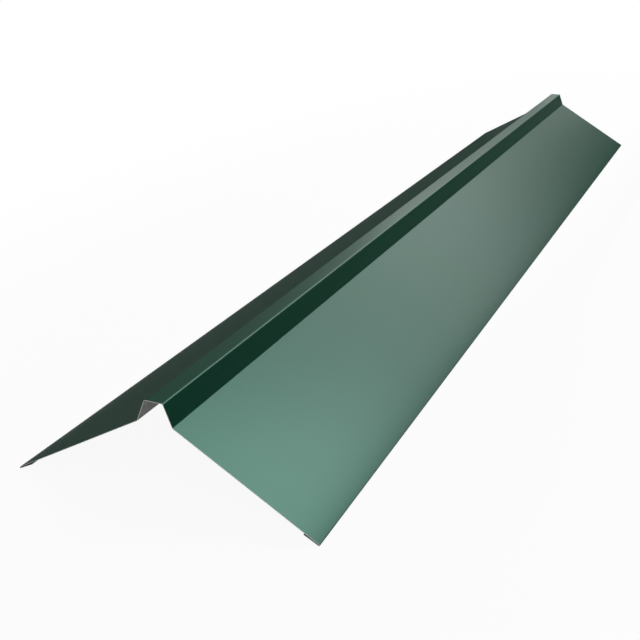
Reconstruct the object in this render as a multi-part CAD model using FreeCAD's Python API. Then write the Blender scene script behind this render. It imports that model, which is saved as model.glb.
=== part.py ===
import FreeCAD, Part
import math
import os

# Roof ridge cap folded from one strip of coated steel sheet, in millimetres.
# X runs across the ridge, Y along it and Z up. The origin is on the floor under the middle of the piece.

# Sheet and stock length
LENGTH = 2000.0
SHEET = 0.5

# Raised rib along the ridge, measured on the coated side where the flat faces would meet
RIB_TOP = 22.5
RIB_BASE = 43.0
RIB_HEIGHT = 26.0

# Sloping flanges, from the foot of the rib to the outer edge of the hem
FLANGE = 192.0
SLOPE = 30.0

# Hems folded back under the flanges, from the outer edge to the cut edge.
# They are pressed tight at the fold and left open by a few degrees towards the cut edge.
HEM = 20.0
HEM_OPENING = 2.5
HEM_RADIUS = 0.5

# Inside radius of the press-brake folds at the rib
FOLD_RADIUS = 2.0

# Angles turned at each fold
web_run = (RIB_BASE - RIB_TOP) / 2
web_pitch = math.degrees(math.atan2(RIB_HEIGHT, web_run))
foot_turn = web_pitch - SLOPE
crown_turn = -web_pitch
hem_turn = HEM_OPENING - 180.0

# Radius of each fold on the middle line of the sheet
fold_mid = FOLD_RADIUS + SHEET / 2
hem_mid = HEM_RADIUS + SHEET / 2
hem_outside = HEM_RADIUS + SHEET


def setback(turn, coated_radius):
    """Distance from where two flat faces would meet to where the round of their fold begins."""
    return coated_radius * math.tan(math.radians(abs(turn)) / 2)


# Flat lengths left between the folds. The coated side is outside the crown folds and inside the foot folds.
crown_setback = setback(crown_turn, FOLD_RADIUS + SHEET)
foot_setback = setback(foot_turn, FOLD_RADIUS)
hem_flat = HEM - hem_outside
flange_flat = FLANGE - hem_outside - foot_setback
web_flat = math.hypot(web_run, RIB_HEIGHT) - foot_setback - crown_setback
top_flat = RIB_TOP - 2 * crown_setback

# The strip from the left hem to the right hem, mirrored about the ridge
half_flats = [hem_flat, flange_flat, web_flat]
half_folds = [(hem_turn, hem_mid), (foot_turn, fold_mid), (crown_turn, fold_mid)]
flats = half_flats + [top_flat] + half_flats[::-1]
folds = half_folds + half_folds[::-1]
first_heading = SLOPE - hem_turn


def direction(heading):
    """Unit vector in the section plane for a heading in degrees, 0 along X and 90 along Z."""
    angle = math.radians(heading)
    return FreeCAD.Vector(math.cos(angle), 0, math.sin(angle))


def face_of_strip(start, offset):
    """Edges of one face of the strip, offset to the left of the middle line that begins at start."""
    edges = []
    point = start
    heading = first_heading
    for number, flat in enumerate(flats):
        side = direction(heading + 90) * offset
        next_point = point + direction(heading) * flat
        edges.append(Part.makeLine(point + side, next_point + side))
        point = next_point
        if number < len(folds):
            turn, radius = folds[number]
            hand = math.copysign(1, turn)
            centre = point + direction(heading + 90 * hand) * radius
            reach = radius - hand * offset
            spokes = [direction(heading - 90 * hand + turn * share) for share in (0, 0.5, 1)]
            edges.append(Part.Arc(*[centre + spoke * reach for spoke in spokes]).toShape())
            heading += turn
            point = centre + spokes[2] * radius
    return edges


def ends(edges):
    """First and last point of a run of edges."""
    return edges[0].firstVertex().Point, edges[-1].lastVertex().Point


# The section is centred on the ridge and stands on the rounds of its hems
trial_start, trial_end = ends(face_of_strip(FreeCAD.Vector(0, 0, 0), 0))
hem_centre = direction(first_heading) * hem_flat + direction(first_heading - 90) * hem_mid
start = FreeCAD.Vector(-(trial_start.x + trial_end.x) / 2, -LENGTH / 2, hem_outside - hem_centre.z)

coated_face = face_of_strip(start, SHEET / 2)
bare_face = face_of_strip(start, -SHEET / 2)
coated_first, coated_last = ends(coated_face)
bare_first, bare_last = ends(bare_face)
cut_edges = [Part.makeLine(coated_first, bare_first), Part.makeLine(coated_last, bare_last)]

outline = Part.Wire(Part.__sortEdges__(coated_face + bare_face + cut_edges))
ridge_cap = Part.Face(outline).extrude(FreeCAD.Vector(0, LENGTH, 0))

os.makedirs("parts", exist_ok=True)
ridge_cap.exportStep("parts/ridge_cap.step")
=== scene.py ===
import math

import bpy
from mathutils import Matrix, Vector


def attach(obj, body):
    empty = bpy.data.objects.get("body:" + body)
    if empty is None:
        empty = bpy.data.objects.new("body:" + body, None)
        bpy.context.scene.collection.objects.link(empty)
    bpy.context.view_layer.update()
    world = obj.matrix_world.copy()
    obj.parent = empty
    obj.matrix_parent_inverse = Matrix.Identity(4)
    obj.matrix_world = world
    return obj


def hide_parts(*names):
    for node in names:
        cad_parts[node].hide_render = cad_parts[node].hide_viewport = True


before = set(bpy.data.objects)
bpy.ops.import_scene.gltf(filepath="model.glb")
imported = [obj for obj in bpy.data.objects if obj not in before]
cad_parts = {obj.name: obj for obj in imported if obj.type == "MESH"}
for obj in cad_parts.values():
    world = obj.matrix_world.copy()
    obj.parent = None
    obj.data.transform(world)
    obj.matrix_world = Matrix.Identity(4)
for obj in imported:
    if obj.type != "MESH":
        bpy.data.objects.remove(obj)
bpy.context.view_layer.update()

bl_info = {
    "name": "Folded Ridge Cap",
    "version": (1, 0, 0),
    "blender": (4, 5, 0),
    "location": "View3D > Sidebar > Ridge Cap",
    "description": "Folds a coated steel ridge cap and sets it on a pale studio floor",
    "category": "Object",
}


# Properties


class RidgeCapSheet(bpy.types.PropertyGroup):
    """Sizes of the folded sheet, measured on the coated side where the flat faces would meet."""

    length: bpy.props.FloatProperty(
        name="Length", description="Stock length along the ridge", default=2.0, min=0.1, unit="LENGTH")
    sheet: bpy.props.FloatProperty(
        name="Sheet", description="Thickness of the steel sheet", default=0.0005, precision=5,
        unit="LENGTH")
    rib_top: bpy.props.FloatProperty(
        name="Rib Top", description="Width of the flat top of the rib", default=0.0225, precision=4,
        unit="LENGTH")
    rib_base: bpy.props.FloatProperty(
        name="Rib Base", description="Width of the rib at its feet", default=0.043, precision=4,
        unit="LENGTH")
    rib_height: bpy.props.FloatProperty(
        name="Rib Height", description="Height of the rib above its feet", default=0.026, precision=4,
        unit="LENGTH")
    flange: bpy.props.FloatProperty(
        name="Flange", description="From the foot of the rib to the outer edge of the hem", default=0.192,
        precision=4, unit="LENGTH")
    slope: bpy.props.FloatProperty(
        name="Slope", description="Fall of the flanges from level", default=math.radians(30),
        unit="ROTATION")
    hem: bpy.props.FloatProperty(
        name="Hem", description="From the outer edge of the hem to its cut edge", default=0.02, precision=4,
        unit="LENGTH")
    hem_opening: bpy.props.FloatProperty(
        name="Hem Opening", description="Angle that the hem is left open", default=math.radians(2.5),
        unit="ROTATION")
    hem_radius: bpy.props.FloatProperty(
        name="Hem Radius", description="Inside radius of the hem's fold", default=0.0005, precision=5,
        unit="LENGTH")
    fold_radius: bpy.props.FloatProperty(
        name="Fold Radius", description="Inside radius of the folds at the rib", default=0.002, precision=5,
        unit="LENGTH")


class RidgeCapFinish(bpy.types.PropertyGroup):
    """Colours of the two sides of the sheet and of its cut edges."""

    coat: bpy.props.FloatVectorProperty(
        name="Coat", description="Green polyester coat on the weather side",
        default=(0.0055, 0.0515, 0.029), min=0.0, max=1.0, subtype="COLOR")
    back: bpy.props.FloatVectorProperty(
        name="Back", description="Grey primer on the underside", default=(0.315, 0.33, 0.315),
        min=0.0, max=1.0, subtype="COLOR")
    steel: bpy.props.FloatVectorProperty(
        name="Steel", description="Bare steel at the cut edges", default=(0.5, 0.51, 0.5), min=0.0, max=1.0,
        subtype="COLOR")


class RidgeCapStage(bpy.types.PropertyGroup):
    """Floor, lamps and camera."""

    floor: bpy.props.FloatVectorProperty(
        name="Floor", description="Colour of the pale floor", default=(0.9, 0.9, 0.9), min=0.0, max=1.0,
        subtype="COLOR")
    sky: bpy.props.FloatProperty(
        name="Sky", description="Strength of the even light", default=0.235, min=0.0)
    lens: bpy.props.FloatProperty(
        name="Lens", description="Focal length of the camera", default=56.65, min=1.0, unit="CAMERA")


# Node helpers


class Wiring:
    """Adds nodes to a tree and links their sockets."""

    def __init__(self, tree):
        self.tree = tree

    def node(self, kind, inputs=None, **settings):
        """A new node with its settings, and its inputs linked or set by name or number."""
        node = self.tree.nodes.new(kind)
        for name, value in settings.items():
            setattr(node, name, value)
        for name, value in (inputs or {}).items():
            self.feed(node.inputs[name], value)
        return node

    def feed(self, socket, value):
        """Links a socket to an output, or sets it to a plain value."""
        if isinstance(value, bpy.types.NodeSocket):
            self.tree.links.new(value, socket)
        else:
            socket.default_value = value

    def math(self, operation, *values):
        """Output of a math node on these values."""
        return self.node("ShaderNodeMath", dict(enumerate(values)), operation=operation).outputs[0]

    def vector(self, x=0.0, y=0.0, z=0.0):
        """A vector from three values."""
        return self.node("ShaderNodeCombineXYZ", {0: x, 1: y, 2: z}).outputs[0]

    def ramp(self, value, start, end, low=0.0, high=1.0, **settings):
        """A value carried from one range to another and held at its ends."""
        node = self.node(
            "ShaderNodeMapRange",
            {"Value": value, "From Min": start, "From Max": end, "To Min": low, "To Max": high},
            **settings)
        return node.outputs[0]

    def pick(self, kind, index, values):
        """The value that stands at an index in a list."""
        node = self.node("GeometryNodeIndexSwitch", data_type=kind)
        while len(node.index_switch_items) < len(values):
            node.index_switch_items.new()
        self.feed(node.inputs["Index"], index)
        for socket, value in zip(node.inputs[1:], values):
            self.feed(socket, value)
        return node.outputs[0]


# The folded sheet

SIZES = (
    "length", "sheet", "rib_top", "rib_base", "rib_height", "flange", "slope", "hem", "hem_opening",
    "hem_radius", "fold_radius")
LOOKS = ("Coat", "Back", "Cut Edge")
SAME_POINT = 0.00001
LONGEST_FOLD_STEP = 0.001
SHARP_EDGE = math.radians(40)


def socket_name(size):
    """Name of the node tree's input for one of the sizes."""
    return size.replace("_", " ").title()


def fold_tree():
    """Node tree that folds the strip.

    It makes the section with its round folds, draws it out along the ridge and gives it the thickness of
    the sheet.
    """
    tree = bpy.data.node_groups.new("Folded Ridge Cap", "GeometryNodeTree")
    tree.interface.new_socket("Geometry", in_out="OUTPUT", socket_type="NodeSocketGeometry")
    for size in SIZES:
        tree.interface.new_socket(socket_name(size), in_out="INPUT", socket_type="NodeSocketFloat")
    for count, default in (("Fold Steps", 12), ("Length Steps", 20)):
        socket = tree.interface.new_socket(count, in_out="INPUT", socket_type="NodeSocketInt")
        socket.default_value = default
    for look in LOOKS:
        tree.interface.new_socket(look, in_out="INPUT", socket_type="NodeSocketMaterial")
    w = Wiring(tree)
    given = w.node("NodeGroupInput").outputs

    # Corners of the right half of the section, from the cut edge of the hem to the crown of the rib
    hem_round = w.math("ADD", given["Hem Radius"], given["Sheet"])
    rise = w.math("SINE", given["Slope"])
    run = w.math("COSINE", given["Slope"])
    flange_run = w.math("SUBTRACT", given["Flange"], hem_round)
    foot_z = w.math("MULTIPLY_ADD", flange_run, rise, w.math("MULTIPLY_ADD", hem_round, run, hem_round))
    foot_x = w.math("MULTIPLY", given["Rib Base"], 0.5)
    crown_z = w.math("ADD", foot_z, given["Rib Height"])
    crown_x = w.math("MULTIPLY", given["Rib Top"], 0.5)

    # The hem's fold is two equal turns, so it has two corners before it is rounded
    half_turn = w.math("MULTIPLY", w.math("SUBTRACT", math.pi, given["Hem Opening"]), 0.5)
    setback = w.math("MULTIPLY", hem_round, w.math("TANGENT", w.math("MULTIPLY", half_turn, 0.5)))

    def onward(x, z, length, fall):
        """The point this far on from another, falling at an angle from level."""
        return (
            w.math("MULTIPLY_ADD", length, w.math("COSINE", fall), x),
            w.math("SUBTRACT", z, w.math("MULTIPLY", length, w.math("SINE", fall))))

    edge_x, edge_z = onward(foot_x, foot_z, w.math("ADD", flange_run, setback), given["Slope"])
    tip_fall = w.math("ADD", given["Slope"], half_turn)
    under_x, under_z = onward(edge_x, edge_z, w.math("MULTIPLY", setback, 2.0), tip_fall)
    lip = w.math("ADD", w.math("SUBTRACT", given["Hem"], hem_round), setback)
    cut_x, cut_z = onward(under_x, under_z, lip, w.math("ADD", tip_fall, half_turn))
    corners = [
        w.vector(cut_x, 0.0, cut_z),
        w.vector(under_x, 0.0, under_z),
        w.vector(edge_x, 0.0, edge_z),
        w.vector(foot_x, 0.0, foot_z),
        w.vector(crown_x, 0.0, crown_z),
    ]
    crown_round = w.math("ADD", given["Fold Radius"], given["Sheet"])
    rounds = [0.0, hem_round, hem_round, given["Fold Radius"], crown_round]

    # Both halves as one line from the left hem to the right hem, with round folds
    last = 2 * len(corners) - 1
    index = w.node("GeometryNodeInputIndex").outputs[0]
    from_end = w.math("SUBTRACT", float(last), index)
    corner = w.math("MINIMUM", index, from_end)
    hand = w.math("SIGN", w.math("SUBTRACT", index, last / 2))
    place = w.node(
        "ShaderNodeVectorMath",
        {0: w.pick("VECTOR", corner, corners), 1: w.vector(hand, 1.0, 1.0)},
        operation="MULTIPLY").outputs[0]
    line = w.node("GeometryNodeCurvePrimitiveLine").outputs[0]
    line = w.node("GeometryNodeResampleCurve", {"Curve": line, "Count": last + 1}, mode="COUNT").outputs[0]
    line = w.node("GeometryNodeSetPosition", {"Geometry": line, "Position": place}).outputs[0]
    section = w.node(
        "GeometryNodeFilletCurve",
        {"Curve": line, "Count": given["Fold Steps"], "Radius": w.pick("FLOAT", corner, rounds),
         "Limit Radius": True},
        mode="POLY").outputs[0]

    # The two quarter rounds of a hem meet in one point, which is kept once
    position = w.node("GeometryNodeInputPosition").outputs[0]

    def step(shift):
        """From a point of the section to its neighbour, and how far that is."""
        there = w.node(
            "GeometryNodeFieldAtIndex", {"Index": w.math("ADD", index, shift), "Value": position},
            data_type="FLOAT_VECTOR", domain="POINT").outputs[0]
        way = w.node("ShaderNodeVectorMath", {0: there, 1: position}, operation="SUBTRACT").outputs[0]
        return way, w.node("ShaderNodeVectorMath", {0: way}, operation="LENGTH").outputs["Value"]

    back_way, back_step = step(-1.0)
    next_way, next_step = step(1.0)
    doubled = w.math("LESS_THAN", back_step, SAME_POINT)
    section = w.node(
        "GeometryNodeDeleteGeometry", {"Geometry": section, "Selection": doubled},
        domain="POINT").outputs[0]

    # Where the sheet goes round the outside of a fold its coat is under stretching, and the colour there is
    # also painted paler as a highlight along the fold
    turn = w.node("ShaderNodeVectorMath", {0: back_way, 1: next_way}, operation="CROSS_PRODUCT").outputs[0]
    outside = w.math("GREATER_THAN", w.node("ShaderNodeSeparateXYZ", {0: turn}).outputs["Y"], 0.0)
    in_fold = w.math("LESS_THAN", w.math("MAXIMUM", back_step, next_step), LONGEST_FOLD_STEP)
    fold_outside = w.math("MULTIPLY", outside, in_fold)

    # A grid with one column for each point of the section and rows along the ridge
    columns = w.node(
        "GeometryNodeAttributeDomainSize", {0: section}, component="CURVE").outputs["Point Count"]
    rows = w.math("ADD", given["Length Steps"], 1.0)
    grid = w.node("GeometryNodeMeshGrid", {"Vertices X": columns, "Vertices Y": rows}).outputs["Mesh"]
    column = w.math("FLOOR", w.math("DIVIDE", w.math("ADD", index, 0.5), rows))
    row = w.math("SUBTRACT", index, w.math("MULTIPLY", column, rows))
    along = w.math("MULTIPLY", w.math("DIVIDE", row, given["Length Steps"]), given["Length"])

    def on_section(kind, value):
        """A value of the section at the column's point."""
        return w.node(
            "GeometryNodeSampleIndex", {"Geometry": section, "Value": value, "Index": column},
            data_type=kind, domain="POINT").outputs[0]

    across = on_section("FLOAT", w.node("GeometryNodeSplineParameter").outputs["Length"])
    width = on_section("FLOAT", w.node("GeometryNodeSplineLength").outputs["Length"])
    drawn_out = w.vector(0.0, w.math("MULTIPLY_ADD", given["Length"], -0.5, along), 0.0)
    place = w.node(
        "ShaderNodeVectorMath", {0: on_section("FLOAT_VECTOR", position), 1: drawn_out},
        operation="ADD").outputs[0]

    # The flat strip's own coordinates in metres, from its left and near borders and from the others
    kept = w.node("GeometryNodeCaptureAttribute", {"Geometry": grid}, domain="POINT")
    far_across = w.math("SUBTRACT", width, across)
    far_along = w.math("SUBTRACT", given["Length"], along)
    marks = {
        "Strip": w.vector(across, along, 0.0),
        "Strip Far": w.vector(far_across, far_along, 0.0),
        "Stretch": on_section("FLOAT", fold_outside),
    }
    for name, value in marks.items():
        kept.capture_items.new("FLOAT" if name == "Stretch" else "VECTOR", name)
        w.feed(kept.inputs[name], value)
    coated = w.node(
        "GeometryNodeSetPosition", {"Geometry": kept.outputs["Geometry"], "Position": place}).outputs[0]
    for name in marks:
        kind, domain = ("FLOAT", "POINT") if name == "Stretch" else ("FLOAT2", "CORNER")
        coated = w.node(
            "GeometryNodeStoreNamedAttribute",
            {"Geometry": coated, "Name": name, "Value": kept.outputs[name]},
            data_type=kind, domain=domain).outputs[0]

    # The underside and the cut edges, one sheet thickness below the coated side
    under = w.node(
        "GeometryNodeExtrudeMesh",
        {"Mesh": coated, "Offset Scale": w.math("MULTIPLY", given["Sheet"], -1.0), "Individual": False},
        mode="FACES")
    depth = w.node(
        "GeometryNodeStoreNamedAttribute",
        {"Geometry": under.outputs["Mesh"], "Name": "Depth", "Value": under.outputs["Top"]},
        data_type="FLOAT", domain="POINT").outputs[0]
    flipped = w.node("GeometryNodeFlipFaces", {0: depth}).outputs[0]
    joined = w.node("GeometryNodeJoinGeometry")
    w.feed(joined.inputs[0], coated)
    w.feed(joined.inputs[0], flipped)
    merged = w.node(
        "GeometryNodeMergeByDistance", {"Geometry": joined.outputs[0], "Distance": SAME_POINT}).outputs[0]

    # Round faces shade smoothly and the cut edges stay sharp
    smooth = w.node(
        "GeometryNodeSetShadeSmooth", {"Geometry": merged, "Shade Smooth": True}, domain="FACE").outputs[0]
    angle = w.node("GeometryNodeInputMeshEdgeAngle").outputs["Unsigned Angle"]
    sharp = w.math("GREATER_THAN", angle, SHARP_EDGE)
    shaded = w.node(
        "GeometryNodeSetShadeSmooth", {"Geometry": smooth, "Selection": sharp, "Shade Smooth": False},
        domain="EDGE").outputs[0]
    whole = w.node("GeometryNodeRealizeInstances", {0: shaded}).outputs[0]
    for look, faces in zip(LOOKS, (True, under.outputs["Top"], under.outputs["Side"])):
        whole = w.node(
            "GeometryNodeSetMaterial",
            {"Geometry": whole, "Selection": faces, "Material": given[look]}).outputs[0]
    w.node("NodeGroupOutput", {0: whole})
    return tree


def folded_mesh(sizes, looks):
    """The folded sheet as a plain mesh object."""
    piece = bpy.data.objects.new("ridge_cap_sheet", bpy.data.meshes.new("ridge_cap_sheet"))
    bpy.context.scene.collection.objects.link(piece)
    tree = fold_tree()
    fold = piece.modifiers.new("Fold", "NODES")
    fold.node_group = tree
    sockets = {item.name: item.identifier for item in tree.interface.items_tree if item.in_out == "INPUT"}
    for size in SIZES:
        fold[sockets[socket_name(size)]] = getattr(sizes, size)
    for look, material in zip(LOOKS, looks):
        fold[sockets[look]] = material
    flats = piece.modifiers.new("Flat Faces", "WEIGHTED_NORMAL")
    flats.keep_sharp = True
    flats.weight = 100
    graph = bpy.context.evaluated_depsgraph_get()
    mesh = bpy.data.meshes.new_from_object(
        piece.evaluated_get(graph), preserve_all_data_layers=True, depsgraph=graph)
    piece.modifiers.clear()
    piece.data = mesh
    for number in reversed(range(len(mesh.materials))):
        if mesh.materials[number] is None:
            mesh.materials.pop(index=number)
    return piece


# Finishes

# Patches of slow tone and of shallow waves, across and along the strip in metres
TONE_PATCH = (0.09, 0.4)
WAVE_PATCH = (0.11, 0.37)
STREAK_LENGTHS = 90.0
NICKS_PER_METRE = 700.0
NICK_CORE = 0.6

# What the coating line leaves on each side, in metres, and how far the shears have nicked it
COAT_GRAIN = {"Peel Size": 0.0022, "Peel Depth": 0.0000015, "Streak Width": 0.0025, "Wave Depth": 0.0001}
BACK_GRAIN = {"Peel Size": 0.0012, "Peel Depth": 0.000006, "Streak Width": 0.003, "Wave Depth": 0.0001}
COAT_NICK = 0.0003
BACK_NICK = 0.0004

# Shades are shares of a finish's own colour, and a roughness is its change with the pattern and its least
COAT_SHADES = (0.9, 1.1)
COAT_STREAKS = 0.3
COAT_ROUGHNESS = (0.02, 0.275)
COAT_IOR = 1.537
COAT_SHEEN = (0.362, 1.0, 0.78, 1.0)
# Paler colour round the outside of folds: partly coat whitened by stretching, partly a painted highlight
# along the folds
STRETCHED_PALE_AND_HIGHLIGHT = 1.7
PALE_AND_HIGHLIGHT_SHARE = 0.5
STRETCHED_ROUGHNESS = 0.05
BACK_SHADES = (0.75, 1.25)
BACK_STREAKS = 0.65
BACK_ROUGHNESS = (0.16, 0.46)
BACK_SPECULAR = 0.15
STEEL_SHADES = (1.25, 0.8)
STEEL_ROUGHNESS = (0.3, 0.3)
COAT_NICK_SHADE = 0.8
BACK_NICK_SHADE = 0.9

# The torn band of a sheared edge: its grain, how ragged it is, where in the sheet, and its relief in metres
TORN_SCALE = 1800.0
TORN_SPREAD = 0.4
TORN_FROM_TO = (0.45, 0.65)
TORN_DEPTH = 0.00003


def shader_group(name, inputs, outputs):
    """A new shader group with its wiring, its given inputs and the node that takes its results."""
    tree = bpy.data.node_groups.new(name, "ShaderNodeTree")
    for socket, kind, default in inputs:
        made = tree.interface.new_socket(socket, in_out="INPUT", socket_type=kind)
        if default is not None:
            made.default_value = default
    for socket in outputs:
        tree.interface.new_socket(socket, in_out="OUTPUT", socket_type="NodeSocketFloat")
    w = Wiring(tree)
    return tree, w, w.node("NodeGroupInput").outputs, w.node("NodeGroupOutput").inputs


def coating_group():
    """What rolling and coating leave on a strip: peel, streaks along it, slow tone and shallow waves."""
    tree, w, given, result = shader_group(
        "Coil Coating",
        [
            ("Strip", "NodeSocketVector", None),
            ("Peel Size", "NodeSocketFloat", 0.002),
            ("Peel Depth", "NodeSocketFloat", 0.000004),
            ("Streak Width", "NodeSocketFloat", 0.002),
            ("Wave Depth", "NodeSocketFloat", 0.0001),
        ],
        ["Tone", "Streak", "Height"])
    strip = w.node("ShaderNodeSeparateXYZ", {0: given["Strip"]}).outputs

    def noise(across, along, detail):
        """Noise on the strip with patches of this size in metres."""
        place = w.vector(w.math("DIVIDE", strip["X"], across), w.math("DIVIDE", strip["Y"], along), 0.0)
        return w.node(
            "ShaderNodeTexNoise", {"Vector": place, "Scale": 1.0, "Detail": detail},
            noise_dimensions="2D").outputs[0]

    peel = noise(given["Peel Size"], given["Peel Size"], 2.0)
    wave = noise(*WAVE_PATCH, 0.0)
    streak_length = w.math("MULTIPLY", given["Streak Width"], STREAK_LENGTHS)
    w.feed(result["Tone"], noise(*TONE_PATCH, 3.0))
    w.feed(result["Streak"], noise(given["Streak Width"], streak_length, 2.0))
    w.feed(
        result["Height"],
        w.math("MULTIPLY_ADD", peel, given["Peel Depth"], w.math("MULTIPLY", wave, given["Wave Depth"])))
    return tree


def border_group():
    """Ragged nicks that the shears leave in a coating along the borders of the strip."""
    tree, w, given, result = shader_group(
        "Sheared Border",
        [
            ("Strip", "NodeSocketVector", None),
            ("Strip Far", "NodeSocketVector", None),
            ("Width", "NodeSocketFloat", 0.0004),
        ],
        ["Nick"])
    nearest = w.node(
        "ShaderNodeVectorMath", {0: given["Strip"], 1: given["Strip Far"]}, operation="MINIMUM").outputs[0]
    sides = w.node("ShaderNodeSeparateXYZ", {0: nearest}).outputs
    border = w.math("MINIMUM", sides["X"], sides["Y"])
    ragged = w.node(
        "ShaderNodeTexNoise", {"Vector": given["Strip"], "Scale": NICKS_PER_METRE, "Detail": 3.0},
        noise_dimensions="2D").outputs[0]
    reach = w.math("MULTIPLY", given["Width"], w.math("MULTIPLY", ragged, 2.0))
    core = w.math("MULTIPLY", reach, NICK_CORE)
    w.feed(result["Nick"], w.ramp(border, core, reach, 1.0, 0.0))
    return tree


def new_material(name):
    """A new material with its wiring and its Principled shader."""
    material = bpy.data.materials.new(name)
    material.use_nodes = True
    return material, Wiring(material.node_tree), material.node_tree.nodes["Principled BSDF"]


def shade(colour, level):
    """A colour made darker or paler, with its alpha."""
    return (*(min(1.0, channel * level) for channel in colour), 1.0)


def mixed(w, factor, first, second):
    """Colour between two colours."""
    node = w.node("ShaderNodeMix", data_type="RGBA")
    w.feed(node.inputs["Factor"], factor)
    for name, colour in (("A", first), ("B", second)):
        socket = next(each for each in node.inputs if each.name == name and each.type == "RGBA")
        w.feed(socket, colour)
    return next(each for each in node.outputs if each.type == "RGBA")


def relief(w, shader, height):
    """Feeds a height in metres to a shader's normal."""
    bump = w.node("ShaderNodeBump", {"Strength": 1.0, "Distance": 1.0, "Height": height})
    w.feed(shader.inputs["Normal"], bump.outputs[0])


def side_patterns(w, coating, grain, border, nick):
    """Outputs of the coating group and of the border group on one side of the strip."""
    strip = w.node("ShaderNodeUVMap", uv_map="Strip").outputs[0]
    far = w.node("ShaderNodeUVMap", uv_map="Strip Far").outputs[0]
    coated = w.node("ShaderNodeGroup", {"Strip": strip, **grain}, node_tree=coating)
    nicked = w.node(
        "ShaderNodeGroup", {"Strip": strip, "Strip Far": far, "Width": nick}, node_tree=border)
    return coated.outputs, nicked.outputs[0]


def toned(w, grain, streaks, colour, shades):
    """A colour that changes with the streaks and the slow tone of a coating."""
    slow = w.math("MULTIPLY", grain["Tone"], 1.0 - streaks)
    dark, pale = (shade(colour, level) for level in shades)
    return mixed(w, w.math("MULTIPLY_ADD", grain["Streak"], streaks, slow), dark, pale)


def coat_material(finish, coating, border):
    """Green polyester coat: satin, with a faint peel, and painted paler round the outside of folds, partly
    as coat whitened by stretching and partly as a painted highlight.
    """
    material, w, paint = new_material("Green Coat")
    grain, nick = side_patterns(w, coating, COAT_GRAIN, border, COAT_NICK)
    colour = toned(w, grain, COAT_STREAKS, finish.coat, COAT_SHADES)
    fold_outside = w.node("ShaderNodeAttribute", attribute_name="Stretch").outputs["Fac"]
    # Painted highlight and coat whitened by stretching, round the outside of the folds
    pale_and_highlight = w.math("MULTIPLY", fold_outside, PALE_AND_HIGHLIGHT_SHARE)
    colour = mixed(w, pale_and_highlight, colour, shade(finish.coat, STRETCHED_PALE_AND_HIGHLIGHT))
    w.feed(paint.inputs["Base Color"], mixed(w, nick, colour, shade(finish.steel, COAT_NICK_SHADE)))
    gloss = w.math("MULTIPLY_ADD", grain["Streak"], *COAT_ROUGHNESS)
    w.feed(paint.inputs["Roughness"], w.math("MULTIPLY_ADD", fold_outside, STRETCHED_ROUGHNESS, gloss))
    relief(w, paint, grain["Height"])
    paint.inputs["IOR"].default_value = COAT_IOR
    paint.inputs["Specular Tint"].default_value = COAT_SHEEN
    return material


def back_material(finish, coating, border):
    """Grey primer of the underside: thin, dull and streaked by the coating rollers."""
    material, w, paint = new_material("Grey Primer")
    grain, nick = side_patterns(w, coating, BACK_GRAIN, border, BACK_NICK)
    colour = toned(w, grain, BACK_STREAKS, finish.back, BACK_SHADES)
    w.feed(paint.inputs["Base Color"], mixed(w, nick, colour, shade(finish.steel, BACK_NICK_SHADE)))
    w.feed(paint.inputs["Roughness"], w.math("MULTIPLY_ADD", grain["Streak"], *BACK_ROUGHNESS))
    paint.inputs["Specular IOR Level"].default_value = BACK_SPECULAR
    relief(w, paint, grain["Height"])
    return material


def steel_material(finish):
    """Bare steel of the sheared edges: a bright burnished band above a dull torn one."""
    material, w, steel = new_material("Sheared Steel")
    place = w.node("ShaderNodeTexCoord").outputs["Object"]
    torn = w.node("ShaderNodeTexNoise", {"Vector": place, "Scale": TORN_SCALE, "Detail": 3.0}).outputs[0]
    depth = w.node("ShaderNodeAttribute", attribute_name="Depth").outputs["Fac"]
    band = w.ramp(w.math("MULTIPLY_ADD", torn, TORN_SPREAD, depth), *TORN_FROM_TO)
    burnished, dull = (shade(finish.steel, level) for level in STEEL_SHADES)
    w.feed(steel.inputs["Base Color"], mixed(w, band, burnished, dull))
    w.feed(steel.inputs["Roughness"], w.math("MULTIPLY_ADD", band, *STEEL_ROUGHNESS))
    relief(w, steel, w.math("MULTIPLY", w.math("MULTIPLY", torn, band), TORN_DEPTH))
    steel.inputs["Metallic"].default_value = 1.0
    return material


class RIDGECAP_OT_fold_sheet(bpy.types.Operator):
    """Fold the coated sheet into the ridge cap"""

    bl_idname = "ridgecap.fold_sheet"
    bl_label = "Fold Sheet"

    def execute(self, context):
        sizes = context.scene.ridge_cap_sheet
        finish = context.scene.ridge_cap_finish
        coating, border = coating_group(), border_group()
        looks = (
            coat_material(finish, coating, border),
            back_material(finish, coating, border),
            steel_material(finish),
        )
        piece = folded_mesh(sizes, looks)
        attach(piece, "root")
        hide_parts("ridge_cap")
        return {"FINISHED"}


# Stage

# Places in metres and angles in degrees
TARGET = Vector((0.05, -0.3, 0.08))
CAMERA_PLACE = (0.5296, -1.7759, 0.5952)
CAMERA_TURN = (67.614, -0.101, 23.858)
HORIZON_BAND = (5.0, 20.5)
FLOOR_HALF = 40.0
FLOOR_Z = -0.0005

# The floor's shadow: its scale across and along, where it fades, and the white share there and beyond
SHADOW_SCALE = (2.2, 0.8, 0.0)
SHADOW_FADE = (0.8, 2.4)
WHITE_SHARE = (0.93, 1.0)

# Matt cards: first and last foot, height, grey at both ends, and whether they dim the soft light
FLAGS = {
    "left_flag": ((-0.192, -1.1), (-0.192, 1.8), 0.248, (0.275, 0.06), False),
    "right_flag": ((0.301, -1.8), (0.301, 6.0), 0.197, (0.02, 0.02), True),
    "back_flag": ((0.2, 3.0), (2.7, 3.0), 0.72, (0.2, 0.0), True),
}

# Soft lamps: azimuth, elevation and distance from the target, width, height and level
SOFT_BOXES = {
    "window": (3.9, 37.5, 3.2, 2.92, 2.36, 1.493),
    "top_box": (37.5, 51.7, 2.4, 1.1, 1.45, 3.903),
    "side_box": (50.6, 56.9, 2.4, 1.35, 1.23, 0.934),
    "front_fill": (156.0, 35.0, 3.2, 2.0, 1.2, 1.5),
}


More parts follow.
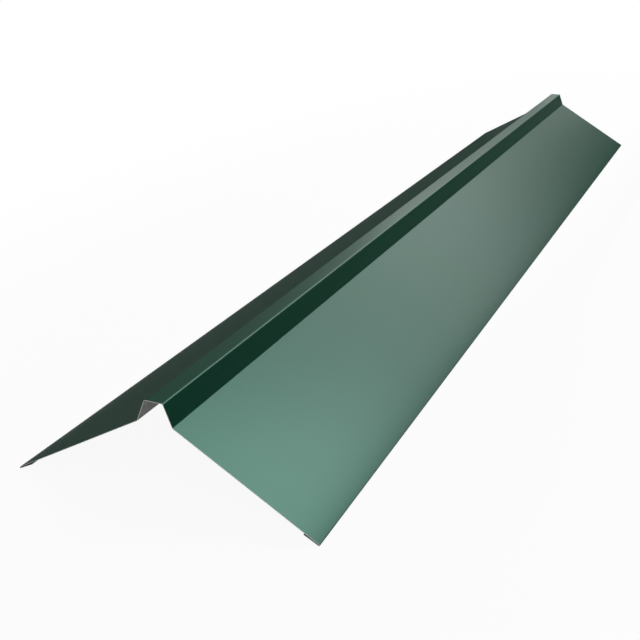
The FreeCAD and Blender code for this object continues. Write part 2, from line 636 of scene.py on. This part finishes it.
def floor_material(colour):
    """Pale floor that stays white to the eye and in reflections, and takes a soft shadow round the cap."""
    material, w, paint = new_material("Pale Floor")
    paint.inputs["Base Color"].default_value = (*colour, 1.0)
    paint.inputs["Roughness"].default_value = 0.9
    paint.inputs["Specular IOR Level"].default_value = 0.1
    path = w.node("ShaderNodeLightPath").outputs
    seen = w.math("MAXIMUM", path["Is Glossy Ray"], path["Is Transmission Ray"])
    seen = w.math("MAXIMUM", path["Is Camera Ray"], seen)
    place = w.node("ShaderNodeTexCoord").outputs["Object"]
    away = w.node("ShaderNodeVectorMath", {0: place, 1: SHADOW_SCALE}, operation="MULTIPLY").outputs[0]
    away = w.node("ShaderNodeVectorMath", {0: away}, operation="LENGTH").outputs["Value"]
    share = w.ramp(away, *SHADOW_FADE, *WHITE_SHARE, interpolation_type="SMOOTHSTEP")
    white = w.node("ShaderNodeEmission", {"Color": (1.0, 1.0, 1.0, 1.0), "Strength": 1.0}).outputs[0]
    factor = w.math("MULTIPLY", seen, share)
    mix = w.node("ShaderNodeMixShader", {0: factor, 1: paint.outputs[0], 2: white}).outputs[0]
    w.feed(material.node_tree.nodes["Material Output"].inputs["Surface"], mix)
    return material


def panel(name, corners, material):
    """A flat four-cornered piece of the stage."""
    mesh = bpy.data.meshes.new(name)
    mesh.from_pydata(corners, [], [(0, 1, 2, 3)])
    mesh.materials.append(material)
    piece = bpy.data.objects.new(name, mesh)
    bpy.context.scene.collection.objects.link(piece)
    return piece


def flag(name, start, end, height, greys, dims):
    """A matt card that stands on the floor, out of the camera's sight, with its grey at both ends.

    It shades reflections, and the soft light as well where it dims.
    """
    material, w, card = new_material(name)
    w.feed(card.inputs["Base Color"], w.node("ShaderNodeAttribute", attribute_name="Grey").outputs["Fac"])
    card.inputs["Roughness"].default_value = 1.0
    card.inputs["Specular IOR Level"].default_value = 0.0
    piece = panel(name, [(*start, 0.0), (*end, 0.0), (*end, height), (*start, height)], material)
    first, last = greys
    shades = piece.data.attributes.new("Grey", "FLOAT", "POINT")
    shades.data.foreach_set("value", (first, last, last, first))
    piece.visible_camera = False
    piece.visible_shadow = False
    piece.visible_diffuse = dims


def soft_box(name, azimuth, elevation, distance, width, height, level):
    """A large soft lamp that faces the cap, placed as seen from there, with how bright its cloth is."""
    turn, tilt = math.radians(azimuth), math.radians(elevation)
    way = Vector((math.sin(turn) * math.cos(tilt), math.cos(turn) * math.cos(tilt), math.sin(tilt)))
    lamp = bpy.data.lights.new(name, "AREA")
    lamp.shape = "RECTANGLE"
    lamp.size, lamp.size_y = width, height
    lamp.energy = math.pi * width * height * level
    box = bpy.data.objects.new(name, lamp)
    box.location = TARGET + way * distance
    box.rotation_euler = way.to_track_quat("Z", "Y").to_euler()
    box.visible_camera = False
    bpy.context.scene.collection.objects.link(box)


def studio_world(level):
    """Even light all round, white along the horizon and to the camera, that fades upwards."""
    world = bpy.data.worlds.new("Even Light")
    world.use_nodes = True
    w = Wiring(world.node_tree)
    way = w.node("ShaderNodeSeparateXYZ", {0: w.node("ShaderNodeTexCoord").outputs["Generated"]}).outputs
    lowest, highest = (math.sin(math.radians(angle)) for angle in HORIZON_BAND)
    fade = w.ramp(way["Z"], lowest, highest, 1.0, level, interpolation_type="SMOOTHSTEP")
    sky = world.node_tree.nodes["Background"]
    sky.inputs["Color"].default_value = (1.0, 1.0, 1.0, 1.0)
    seen = w.node("ShaderNodeLightPath").outputs["Is Camera Ray"]
    w.feed(sky.inputs["Strength"], w.math("MAXIMUM", fade, seen))
    return world


class RIDGECAP_OT_set_stage(bpy.types.Operator):
    """Set the floor, the lamps and the camera"""

    bl_idname = "ridgecap.set_stage"
    bl_label = "Set Stage"

    def execute(self, context):
        stage = context.scene.ridge_cap_stage
        scene = context.scene
        scene.view_settings.view_transform = "Standard"

        quarters = ((-1, -1), (1, -1), (1, 1), (-1, 1))
        corners = [(x * FLOOR_HALF, y * FLOOR_HALF, FLOOR_Z) for x, y in quarters]
        panel("floor", corners, floor_material(stage.floor))
        for name, card in FLAGS.items():
            flag(name, *card)
        for name, box in SOFT_BOXES.items():
            soft_box(name, *box)
        scene.world = studio_world(stage.sky)

        data = bpy.data.cameras.new("camera")
        data.sensor_width = 36.0
        data.lens = stage.lens
        data.clip_end = 200.0
        camera = bpy.data.objects.new("camera", data)
        camera.location = CAMERA_PLACE
        camera.rotation_euler = [math.radians(angle) for angle in CAMERA_TURN]
        scene.collection.objects.link(camera)
        scene.camera = camera
        return {"FINISHED"}


class RIDGECAP_PT_sidebar(bpy.types.Panel):
    """Sizes, colours and steps of the ridge cap"""

    bl_label = "Ridge Cap"
    bl_idname = "RIDGECAP_PT_sidebar"
    bl_space_type = "VIEW_3D"
    bl_region_type = "UI"
    bl_category = "Ridge Cap"

    def draw(self, context):
        for title, group, operator in (
            ("Sheet", context.scene.ridge_cap_sheet, None),
            ("Finish", context.scene.ridge_cap_finish, RIDGECAP_OT_fold_sheet),
            ("Stage", context.scene.ridge_cap_stage, RIDGECAP_OT_set_stage),
        ):
            box = self.layout.box()
            box.label(text=title)
            for name in group.__annotations__:
                box.prop(group, name)
            if operator:
                box.operator(operator.bl_idname)


CLASSES = (
    RidgeCapSheet,
    RidgeCapFinish,
    RidgeCapStage,
    RIDGECAP_OT_fold_sheet,
    RIDGECAP_OT_set_stage,
    RIDGECAP_PT_sidebar,
)


def register():
    for each in CLASSES:
        bpy.utils.register_class(each)
    bpy.types.Scene.ridge_cap_sheet = bpy.props.PointerProperty(type=RidgeCapSheet)
    bpy.types.Scene.ridge_cap_finish = bpy.props.PointerProperty(type=RidgeCapFinish)
    bpy.types.Scene.ridge_cap_stage = bpy.props.PointerProperty(type=RidgeCapStage)


def unregister():
    del bpy.types.Scene.ridge_cap_stage
    del bpy.types.Scene.ridge_cap_finish
    del bpy.types.Scene.ridge_cap_sheet
    for each in reversed(CLASSES):
        bpy.utils.unregister_class(each)


def main():
    register()
    bpy.ops.ridgecap.fold_sheet()
    bpy.ops.ridgecap.set_stage()


if __name__ == "__main__":
    main()
